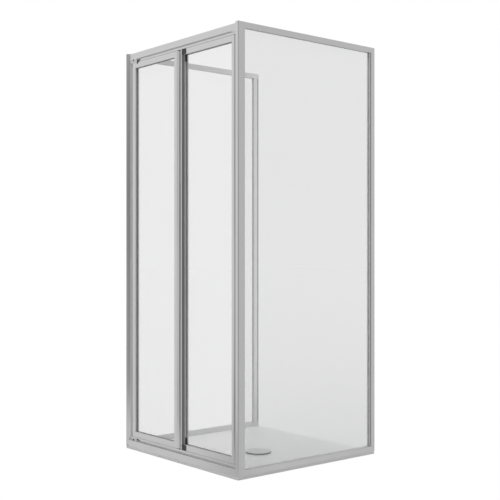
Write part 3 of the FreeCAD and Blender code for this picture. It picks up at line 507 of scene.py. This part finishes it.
class SHOWER_OT_glazing(bpy.types.Operator):
    """Panes, gaskets and seals"""
    bl_idname = "shower.glazing"
    bl_label = "Glazing"

    def execute(self, context):
        s = settings().glazing
        dress(["right_glass"], clear_glass("right_glass", s.right_opacity, s.painted_floor_reflection))
        dress(["left_glass"], clear_glass("left_glass", s.left_opacity))
        dress(SLOT_NODES["leaf_glass"], clear_glass("leaf_glass", s.leaf_opacity, s.painted_leaf_floor_reflection))
        dress(SLOT_NODES["grey_gasket"], soft_rubber("panel_gasket", s.panel_gasket))
        dark = SLOT_NODES["dark_gasket"]
        track = [name for name in dark if "track" in name]
        wall = [name for name in dark if "wall" in name]
        dress(track, soft_rubber("track_seal", s.track_seal))
        dress(wall, soft_rubber("wall_seal", s.wall_seal))
        dress([name for name in dark if name not in track + wall], soft_rubber("leaf_gasket", s.leaf_gasket))
        dress(["hinge_seal"], soft_rubber("hinge_seal", s.panel_gasket))
        return {"FINISHED"}


class SHOWER_OT_fittings(bpy.types.Operator):
    """Grip, plugs, bushes, shoes and pins"""
    bl_idname = "shower.fittings"
    bl_label = "Fittings"

    def execute(self, context):
        s = settings().fittings
        dress(SLOT_NODES["grip_rubber"], soft_rubber("grip_rubber", s.grip))
        dress(SLOT_NODES["black_plastic"], moulded_plastic())
        dress(SLOT_NODES["steel"], bright_steel())
        dress(SLOT_NODES["drain_metal"], turned_metal())
        return {"FINISHED"}


def add_node(tree, kind, **inputs):
    """Node of a tree, with values set on its sockets or other sockets linked to them."""
    node = tree.nodes.new(kind)
    for name, value in inputs.items():
        socket = node.inputs[name.replace("_", " ")]
        if isinstance(value, bpy.types.NodeSocket):
            tree.links.new(value, socket)
        else:
            socket.default_value = value
    return node


def screw_tree():
    """Row of countersunk screws with a cross recess, heads at the row's own points."""
    tree = bpy.data.node_groups.new("jamb_screw_row", "GeometryNodeTree")
    tree.interface.new_socket("Geometry", in_out="OUTPUT", socket_type="NodeSocketGeometry")
    kinds = {
        "Count": "NodeSocketInt", "First": "NodeSocketVector", "Step": "NodeSocketVector",
        "Turn": "NodeSocketRotation", "Head Radius": "NodeSocketFloat", "Head Height": "NodeSocketFloat",
        "Shank Radius": "NodeSocketFloat", "Shank Length": "NodeSocketFloat",
        "Shank Place": "NodeSocketVector", "Long Slot": "NodeSocketVector", "Cross Slot": "NodeSocketVector",
        "Material": "NodeSocketMaterial",
    }
    for name, kind in kinds.items():
        tree.interface.new_socket(name, in_out="INPUT", socket_type=kind)
    given = tree.nodes.new("NodeGroupInput").outputs
    head = add_node(tree, "GeometryNodeMeshCone", Vertices=HEAD_SIDES, Radius_Top=given["Shank Radius"],
                    Radius_Bottom=given["Head Radius"], Depth=given["Head Height"])
    shank = add_node(tree, "GeometryNodeMeshCylinder", Vertices=SHANK_SIDES,
                     Radius=given["Shank Radius"], Depth=given["Shank Length"])
    shank = add_node(tree, "GeometryNodeTransform", Geometry=shank.outputs["Mesh"],
                     Translation=given["Shank Place"])
    long_slot = add_node(tree, "GeometryNodeMeshCube", Size=given["Long Slot"])
    cross_slot = add_node(tree, "GeometryNodeMeshCube", Size=given["Cross Slot"])
    recess = tree.nodes.new("GeometryNodeMeshBoolean")
    recess.operation = "DIFFERENCE"
    tree.links.new(head.outputs["Mesh"], recess.inputs["Mesh 1"])
    tree.links.new(long_slot.outputs["Mesh"], recess.inputs["Mesh 2"])
    tree.links.new(cross_slot.outputs["Mesh"], recess.inputs["Mesh 2"])
    screw = tree.nodes.new("GeometryNodeJoinGeometry")
    tree.links.new(recess.outputs["Mesh"], screw.inputs["Geometry"])
    tree.links.new(shank.outputs["Geometry"], screw.inputs["Geometry"])
    row = add_node(tree, "GeometryNodeMeshLine", Count=given["Count"], Start_Location=given["First"],
                   Offset=given["Step"])
    spread = add_node(tree, "GeometryNodeInstanceOnPoints", Points=row.outputs["Mesh"],
                      Instance=screw.outputs["Geometry"], Rotation=given["Turn"])
    real = add_node(tree, "GeometryNodeRealizeInstances", Geometry=spread.outputs["Instances"])
    dressed = add_node(tree, "GeometryNodeSetMaterial", Geometry=real.outputs["Geometry"],
                       Material=given["Material"])
    result = tree.nodes.new("NodeGroupOutput")
    tree.links.new(dressed.outputs["Geometry"], result.inputs["Geometry"])
    return tree


def made_by_nodes(name, tree, values):
    """Plain mesh object from a node tree, with the tree's inputs set by name."""
    carrier = bpy.data.objects.new(f"{name}_carrier", bpy.data.meshes.new(f"{name}_carrier"))
    bpy.context.scene.collection.objects.link(carrier)
    modifier = carrier.modifiers.new("row", "NODES")
    modifier.node_group = tree
    for socket in tree.interface.items_tree:
        if socket.in_out == "INPUT":
            modifier[socket.identifier] = values[socket.name]
    bpy.context.view_layer.update()
    depsgraph = bpy.context.evaluated_depsgraph_get()
    mesh = bpy.data.meshes.new_from_object(carrier.evaluated_get(depsgraph))
    bpy.data.objects.remove(carrier)
    piece = bpy.data.objects.new(name, mesh)
    bpy.context.scene.collection.objects.link(piece)
    return piece


class SHOWER_OT_screws(bpy.types.Operator):
    """Countersunk cross-head screws in both jambs"""
    bl_idname = "shower.screws"
    bl_label = "Jamb screws"

    def execute(self, context):
        s = settings().fittings
        tree = screw_tree()
        steel = NODES["pivot_pin_top"].material_slots[0].material
        for name, inwards in (("hinge_jamb_screws", -1), ("strike_jamb_screws", 1)):
            low, high = (Vector(corner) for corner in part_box(name))
            head = (high.y - low.y) / 2
            length = high.x - low.x
            face = high.x if inwards < 0 else low.x
            first = Vector((face, (low.y + high.y) / 2, low.z + head))
            step = (high.z - low.z - 2 * head) / (s.screw_count - 1)
            shank = length - s.head_height
            piece = made_by_nodes(f"{name}_row", tree, {
                "Count": s.screw_count, "First": first, "Step": (0, 0, step),
                "Turn": (0, inwards * math.pi / 2, 0), "Head Radius": head, "Head Height": s.head_height,
                "Shank Radius": s.shank, "Shank Length": shank,
                "Shank Place": (0, 0, s.head_height + shank / 2),
                "Long Slot": (s.recess, s.recess / SLOT_RATIO, 2 * s.recess_depth),
                "Cross Slot": (s.recess / SLOT_RATIO, s.recess, 2 * s.recess_depth), "Material": steel,
            })
            finish_piece(piece, "enclosure", "steel", steel, name)
        return {"FINISHED"}


def linked(name, bm):
    """Object of the scene from a finished mesh in the making."""
    mesh = bpy.data.meshes.new(name)
    bm.to_mesh(mesh)
    bm.free()
    piece = bpy.data.objects.new(name, mesh)
    bpy.context.scene.collection.objects.link(piece)
    return piece


def turned(name, profile, centre, steps):
    """Object turned about an upright line from a profile of radius and height, axis to axis."""
    bm = bmesh.new()
    rings = []
    for radius, height in profile:
        if radius == 0:
            rings.append([bm.verts.new((centre[0], centre[1], height))] * steps)
        else:
            ring = []
            for i in range(steps):
                angle = 2 * math.pi * i / steps
                at = (centre[0] + radius * math.cos(angle), centre[1] + radius * math.sin(angle), height)
                ring.append(bm.verts.new(at))
            rings.append(ring)
    for inner, outer in zip(rings, rings[1:]):
        for i in range(steps):
            j = (i + 1) % steps
            corners = dict.fromkeys((inner[i], outer[i], outer[j], inner[j]))
            bm.faces.new(list(corners))
    bmesh.ops.recalc_face_normals(bm, faces=bm.faces)
    for face in bm.faces:
        face.smooth = True
    return linked(name, bm)


def blocks(name, boxes, edge):
    """One object of several blocks with rounded edges, each given by its two corners."""
    bm = bmesh.new()
    for low, high in boxes:
        verts = bmesh.ops.create_cube(bm, size=1)["verts"]
        bmesh.ops.scale(bm, vec=high - low, verts=verts)
        bmesh.ops.translate(bm, vec=(low + high) / 2, verts=verts)
    bmesh.ops.bevel(bm, geom=bm.edges[:], offset=edge, segments=2, affect="EDGES")
    return linked(name, bm)


def plates(name, outlines, back, thickness):
    """One object of several upright flat plates, each given by its outline in width and height."""
    bm = bmesh.new()
    for outline in outlines:
        rear, front = ([bm.verts.new((x, y, z)) for x, z in outline] for y in (back, back - thickness))
        bm.faces.new(rear)
        bm.faces.new(front)
        for i in range(len(outline)):
            bm.faces.new((rear[i - 1], rear[i], front[i], front[i - 1]))
    bmesh.ops.recalc_face_normals(bm, faces=bm.faces)
    return linked(name, bm)


class SHOWER_OT_trim(bpy.types.Operator):
    """Ends that close the tracks' grooves, black plates at the pivots and the grip, and pane clips"""
    bl_idname = "shower.trim"
    bl_label = "Trim"

    def execute(self, context):
        s = settings().fittings
        ends = []
        dots = []
        for name in ("top_track_seal", "bottom_track_seal"):
            low, high = (Vector(corner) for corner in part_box(name))
            face = low.y - s.end_thickness
            ends.append((Vector((low.x, face, low.z)), Vector((low.x + s.left_end, low.y, high.z))))
            if name.startswith("top"):
                ends.append((Vector((high.x - s.right_end, face, low.z)), Vector((high.x, low.y, high.z))))
            at = Vector((low.x + s.left_end / 2, face, (low.z + high.z) / 2))
            reach = Vector((s.dot, s.dot / DOT_RATIO, s.dot)) / 2
            dots.append((at - reach, at + reach))
        metal = NODES["top_track"].material_slots[0].material
        finish_piece(blocks("track_ends", ends, TRACK_END_EDGE), "enclosure", "silver_aluminium", metal)
        plastic = NODES["grip_end_plugs"].material_slots[0].material
        finish_piece(blocks("track_end_dots", dots, DOT_EDGE), "enclosure", "black_plastic", plastic)

        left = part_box("leaf_b_pull_stile")[1][0]
        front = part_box("leaf_b_glass")[0][1]
        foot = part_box("leaf_b_bottom_rail")[1][2]
        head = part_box("leaf_b_top_rail")[0][2]
        size = Vector((s.clip_width, s.clip_thickness, s.clip_height))
        corners = [Vector((left, front - s.clip_thickness, z)) for z in (foot, head - s.clip_height)]
        clips = [(corner, corner + size) for corner in corners]
        finish_piece(blocks("pane_clips", clips, CLIP_EDGE), "leaf_b", "black_plastic", plastic)

        wedges = []
        for name, height in (("top_track_seal", s.wedge_height), ("bottom_track_seal", s.low_wedge)):
            low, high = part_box(name)
            near = low[0] + s.left_end
            brink = low[2] if name.startswith("top") else high[2]
            tip = brink - height if name.startswith("top") else brink + height
            wedges.append([(near, brink), (near + s.wedge_width, brink), (near, tip)])
        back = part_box("leaf_a_top_rail")[0][1] - s.plate_gap
        finish_piece(plates("pivot_wedges", wedges, back, s.plate), "enclosure", "black_plastic", plastic)

        low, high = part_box("grip_end_plugs")
        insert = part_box("grip_insert")
        right = high[0] + s.plug_reach
        spans = ((low[2], insert[0][2]), (insert[1][2], high[2]))
        faces = [[(low[0], a), (right, a), (right, b), (low[0], b)] for a, b in spans]
        finish_piece(plates("grip_plug_faces", faces, back, s.plate), "leaf_b", "black_plastic", plastic)
        return {"FINISHED"}


class SHOWER_OT_drain_cover(bpy.types.Operator):
    """Domed drain cover with a rounded rim and a black base, on four legs; the base's skirt is painted shade
    in the gap under the rim
    """
    bl_idname = "shower.drain_cover"
    bl_label = "Drain cover"

    def execute(self, context):
        s = settings().fittings
        low, high = (Vector(corner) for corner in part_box("drain_cover"))
        centre = (low + high) / 2
        radius = (high.x - low.x) / 2
        crown = high.z
        rim = crown - s.cover_dome
        foot = rim - s.cover_edge
        under = foot + s.cover_base
        turn = s.cover_round
        flat = radius - turn
        profile = [(flat * i / DOME_STEPS, crown - s.cover_dome * (i / DOME_STEPS) ** 2)
                   for i in range(DOME_STEPS + 1)]
        for i in range(1, RIM_STEPS + 1):
            angle = math.radians(90 - 90 / RIM_STEPS * i)
            profile.append((flat + turn * math.cos(angle), rim - turn + turn * math.sin(angle)))
        profile += [(radius, under + turn / 2), (radius - turn / 2, under), (0, under)]
        piece = turned("drain_cover_dome", profile, centre, COVER_SIDES)
        metal = NODES["waste_flange"].material_slots[0].material
        finish_piece(piece, "drain_cover", "drain_metal", metal, "drain_cover")
        # The black base is partly a real part and partly painted shade: with its skirt it fills the gap under
        # the rim, where there is only shadow, with black.
        inner = radius - turn / 2
        shade_skirt_foot = foot - s.painted_shade_skirt
        profile = [(0, under), (inner, under), (inner, foot), (inner - s.painted_shade_skirt / 2, shade_skirt_foot),
                   (0, shade_skirt_foot)]
        base = turned("drain_cover_base_and_shade_skirt", profile, centre, COVER_SIDES)
        plastic = NODES["grip_end_plugs"].material_slots[0].material
        finish_piece(base, "drain_cover", "black_plastic", plastic)

        middle = s.leg_radius - s.leg_thickness / 2
        half = Vector((s.leg_thickness, s.leg_width, rim - low.z)) / 2
        legs = []
        for i in range(LEG_COUNT):
            angle = 2 * math.pi * i / LEG_COUNT
            x, y = round(math.cos(angle)), round(math.sin(angle))
            at = Vector((centre.x + x * middle, centre.y + y * middle, (low.z + rim) / 2))
            reach = half if x else Vector((half.y, half.x, half.z))
            legs.append((at - reach, at + reach))
        feet = blocks("drain_cover_legs", legs, LEG_EDGE)
        finish_piece(feet, "drain_cover", "drain_metal", metal)
        return {"FINISHED"}


class SHOWER_OT_tray(bpy.types.Operator):
    """Gloss acrylic on the tray"""
    bl_idname = "shower.tray"
    bl_label = "Tray"

    def execute(self, context):
        dress(SLOT_NODES["white_tray"], gloss_acrylic())
        return {"FINISHED"}


def ray_kinds(tree):
    """Two flags: a ray off metal, and a ray by which the camera sees, through panes too."""
    path = tree.nodes.new("ShaderNodeLightPath")
    seen = maths(tree, "MAXIMUM", path.outputs["Is Camera Ray"], path.outputs["Is Transmission Ray"])
    return path.outputs["Is Glossy Ray"], seen


def studio_light(tree):
    """World of the studio: pale all round, palest to the left of the door and dim behind the camera."""
    s = settings().stage
    tree.nodes.clear()
    direction = tree.nodes.new("ShaderNodeTexCoord").outputs["Generated"]

    camera_side = maths(tree, "MAXIMUM", along(tree, direction, TO_CAMERA), 0.0)
    left_side = along(tree, direction, TO_LEFT)
    tone = maths(tree, "ADD", s.metal_level, maths(tree, "MULTIPLY", left_side, s.left_gain))
    tone = maths(tree, "SUBTRACT", tone, maths(tree, "MULTIPLY", camera_side, s.camera_dim))
    glossy, seen = ray_kinds(tree)
    soft = maths(tree, "ADD", s.soft_level, maths(tree, "MULTIPLY", left_side, s.soft_gain))
    level = maths(tree, "ADD", maths(tree, "MULTIPLY", tone, glossy),
                  maths(tree, "MULTIPLY", soft, maths(tree, "SUBTRACT", 1.0, glossy)))
    level = maths(tree, "ADD", maths(tree, "MULTIPLY", level, maths(tree, "SUBTRACT", 1.0, seen)),
                  maths(tree, "MULTIPLY", seen, s.white))
    background = tree.nodes.new("ShaderNodeBackground")
    background.inputs["Color"].default_value = (1, 1, 1, 1)
    output = tree.nodes.new("ShaderNodeOutputWorld")
    tree.links.new(level, background.inputs["Strength"])
    tree.links.new(background.outputs["Background"], output.inputs["Surface"])


def pale_floor():
    """Floor that the camera sees as white with a trace of the shadow, and metal as pale grey."""
    s = settings().stage
    material = bpy.data.materials.new("pale_floor")
    material.use_nodes = True
    tree = material.node_tree
    tree.nodes.clear()
    glossy, seen = ray_kinds(tree)
    place = object_space(tree)
    left = along(tree, place, TO_LEFT)
    side = maths(tree, "MAXIMUM", maths(tree, "MINIMUM", left, 1.0), -1.0)
    way = maths(tree, "MAXIMUM", along(tree, place, TO_CAMERA), 0.0)
    ahead = maths(tree, "MAXIMUM", maths(tree, "SUBTRACT", way, s.floor_start), 0.0)
    ahead = maths(tree, "MINIMUM", maths(tree, "DIVIDE", ahead, s.floor_reach), 1.0)
    middle = maths(tree, "SUBTRACT", s.floor_middle, maths(tree, "MULTIPLY", way, s.floor_drift))
    half = maths(tree, "ADD", s.floor_side, maths(tree, "MULTIPLY", way, s.floor_spread))
    off = maths(tree, "ABSOLUTE", maths(tree, "SUBTRACT", left, middle))
    strip = maths(tree, "SUBTRACT", 1.0, maths(tree, "DIVIDE", off, half))
    dimming = maths(tree, "MULTIPLY", ahead, maths(tree, "MAXIMUM", strip, 0.0))
    tone = maths(tree, "ADD", s.floor_level, maths(tree, "MULTIPLY", side, s.floor_gain))
    tone = maths(tree, "SUBTRACT", tone, maths(tree, "MULTIPLY", dimming, s.floor_dim))
    strength = maths(tree, "ADD", maths(tree, "MULTIPLY", seen, s.white * s.floor_lift),
                     maths(tree, "MULTIPLY", glossy, tone))
    share = maths(tree, "ADD", maths(tree, "MULTIPLY", seen, s.floor_white), glossy)
    white = tree.nodes.new("ShaderNodeEmission")
    tree.links.new(strength, white.inputs["Strength"])
    matt = tree.nodes.new("ShaderNodeBsdfDiffuse")
    matt.inputs["Color"].default_value = (FLOOR_GREY, FLOOR_GREY, FLOOR_GREY, 1)
    mix = tree.nodes.new("ShaderNodeMixShader")
    output = tree.nodes.new("ShaderNodeOutputMaterial")
    tree.links.new(share, mix.inputs["Fac"])
    tree.links.new(matt.outputs["BSDF"], mix.inputs[1])
    tree.links.new(white.outputs["Emission"], mix.inputs[2])
    tree.links.new(mix.outputs["Shader"], output.inputs["Surface"])
    return material


def soft_lamp(name, power, width, height, place):
    """Flat lamp that shines down until it is turned."""
    light = bpy.data.lights.new(name, "AREA")
    light.shape = "RECTANGLE"
    light.energy = power
    light.size = width
    light.size_y = height
    lamp = bpy.data.objects.new(name, light)
    lamp.location = place
    bpy.context.scene.collection.objects.link(lamp)
    return lamp


class SHOWER_OT_stage(bpy.types.Operator):
    """Camera, studio light and floor"""
    bl_idname = "shower.stage"
    bl_label = "Stage"

    def execute(self, context):
        s = settings().stage
        scene = context.scene
        scene.view_settings.view_transform = "Standard"
        lens = bpy.data.cameras.new("camera")
        lens.lens = s.lens
        lens.sensor_width = SENSOR_WIDTH
        lens.shift_y = s.rise
        lens.shift_x = s.slide
        lens.clip_end = VIEW_END
        camera = bpy.data.objects.new("camera", lens)
        camera.location = s.camera_place
        camera.rotation_euler = (math.radians(90), 0, s.camera_turn)
        scene.collection.objects.link(camera)
        scene.camera = camera

        world = bpy.data.worlds.new("studio")
        world.use_nodes = True
        studio_light(world.node_tree)
        scene.world = world

        soft_lamp("top_lamp", s.top_power, s.top_size, s.top_size, (0, 0, s.top_height))
        card = soft_lamp("back_card", s.card_power, s.card_width, s.card_height, s.card_place)
        card.rotation_euler = (math.radians(-90), 0, 0)
        card.visible_camera = False

        mesh = bpy.data.meshes.new("floor")
        corners = [(x * FLOOR_REACH, y * FLOOR_REACH, 0) for x, y in ((-1, -1), (1, -1), (1, 1), (-1, 1))]
        mesh.from_pydata(corners, [], [(0, 1, 2, 3)])
        floor = bpy.data.objects.new("floor", mesh)
        floor.data.materials.append(pale_floor())
        scene.collection.objects.link(floor)
        return {"FINISHED"}


PIECE_OPERATORS = (
    SHOWER_OT_profiles, SHOWER_OT_glazing, SHOWER_OT_fittings, SHOWER_OT_screws, SHOWER_OT_trim,
    SHOWER_OT_drain_cover, SHOWER_OT_tray, SHOWER_OT_stage,
)


class SHOWER_PT_panel(bpy.types.Panel):
    """Operators of the enclosure, in order"""
    bl_label = "Shower enclosure"
    bl_idname = "SHOWER_PT_panel"
    bl_space_type = "VIEW_3D"
    bl_region_type = "UI"
    bl_category = "Shower"

    def draw(self, context):
        for operator in PIECE_OPERATORS:
            self.layout.operator(operator.bl_idname)


CLASSES = (
    ProfileSettings, GlazingSettings, FittingSettings, TraySettings, StageSettings, ShowerSettings,
    *PIECE_OPERATORS, SHOWER_PT_panel,
)


def register():
    for cls in CLASSES:
        bpy.utils.register_class(cls)
    bpy.types.Scene.shower = PointerProperty(type=ShowerSettings)


def unregister():
    del bpy.types.Scene.shower
    for cls in reversed(CLASSES):
        bpy.utils.unregister_class(cls)


def main():
    register()
    bpy.ops.shower.profiles()
    bpy.ops.shower.glazing()
    bpy.ops.shower.fittings()
    bpy.ops.shower.screws()
    bpy.ops.shower.trim()
    bpy.ops.shower.drain_cover()
    bpy.ops.shower.tray()
    bpy.ops.shower.stage()


if __name__ == "__main__":
    main()
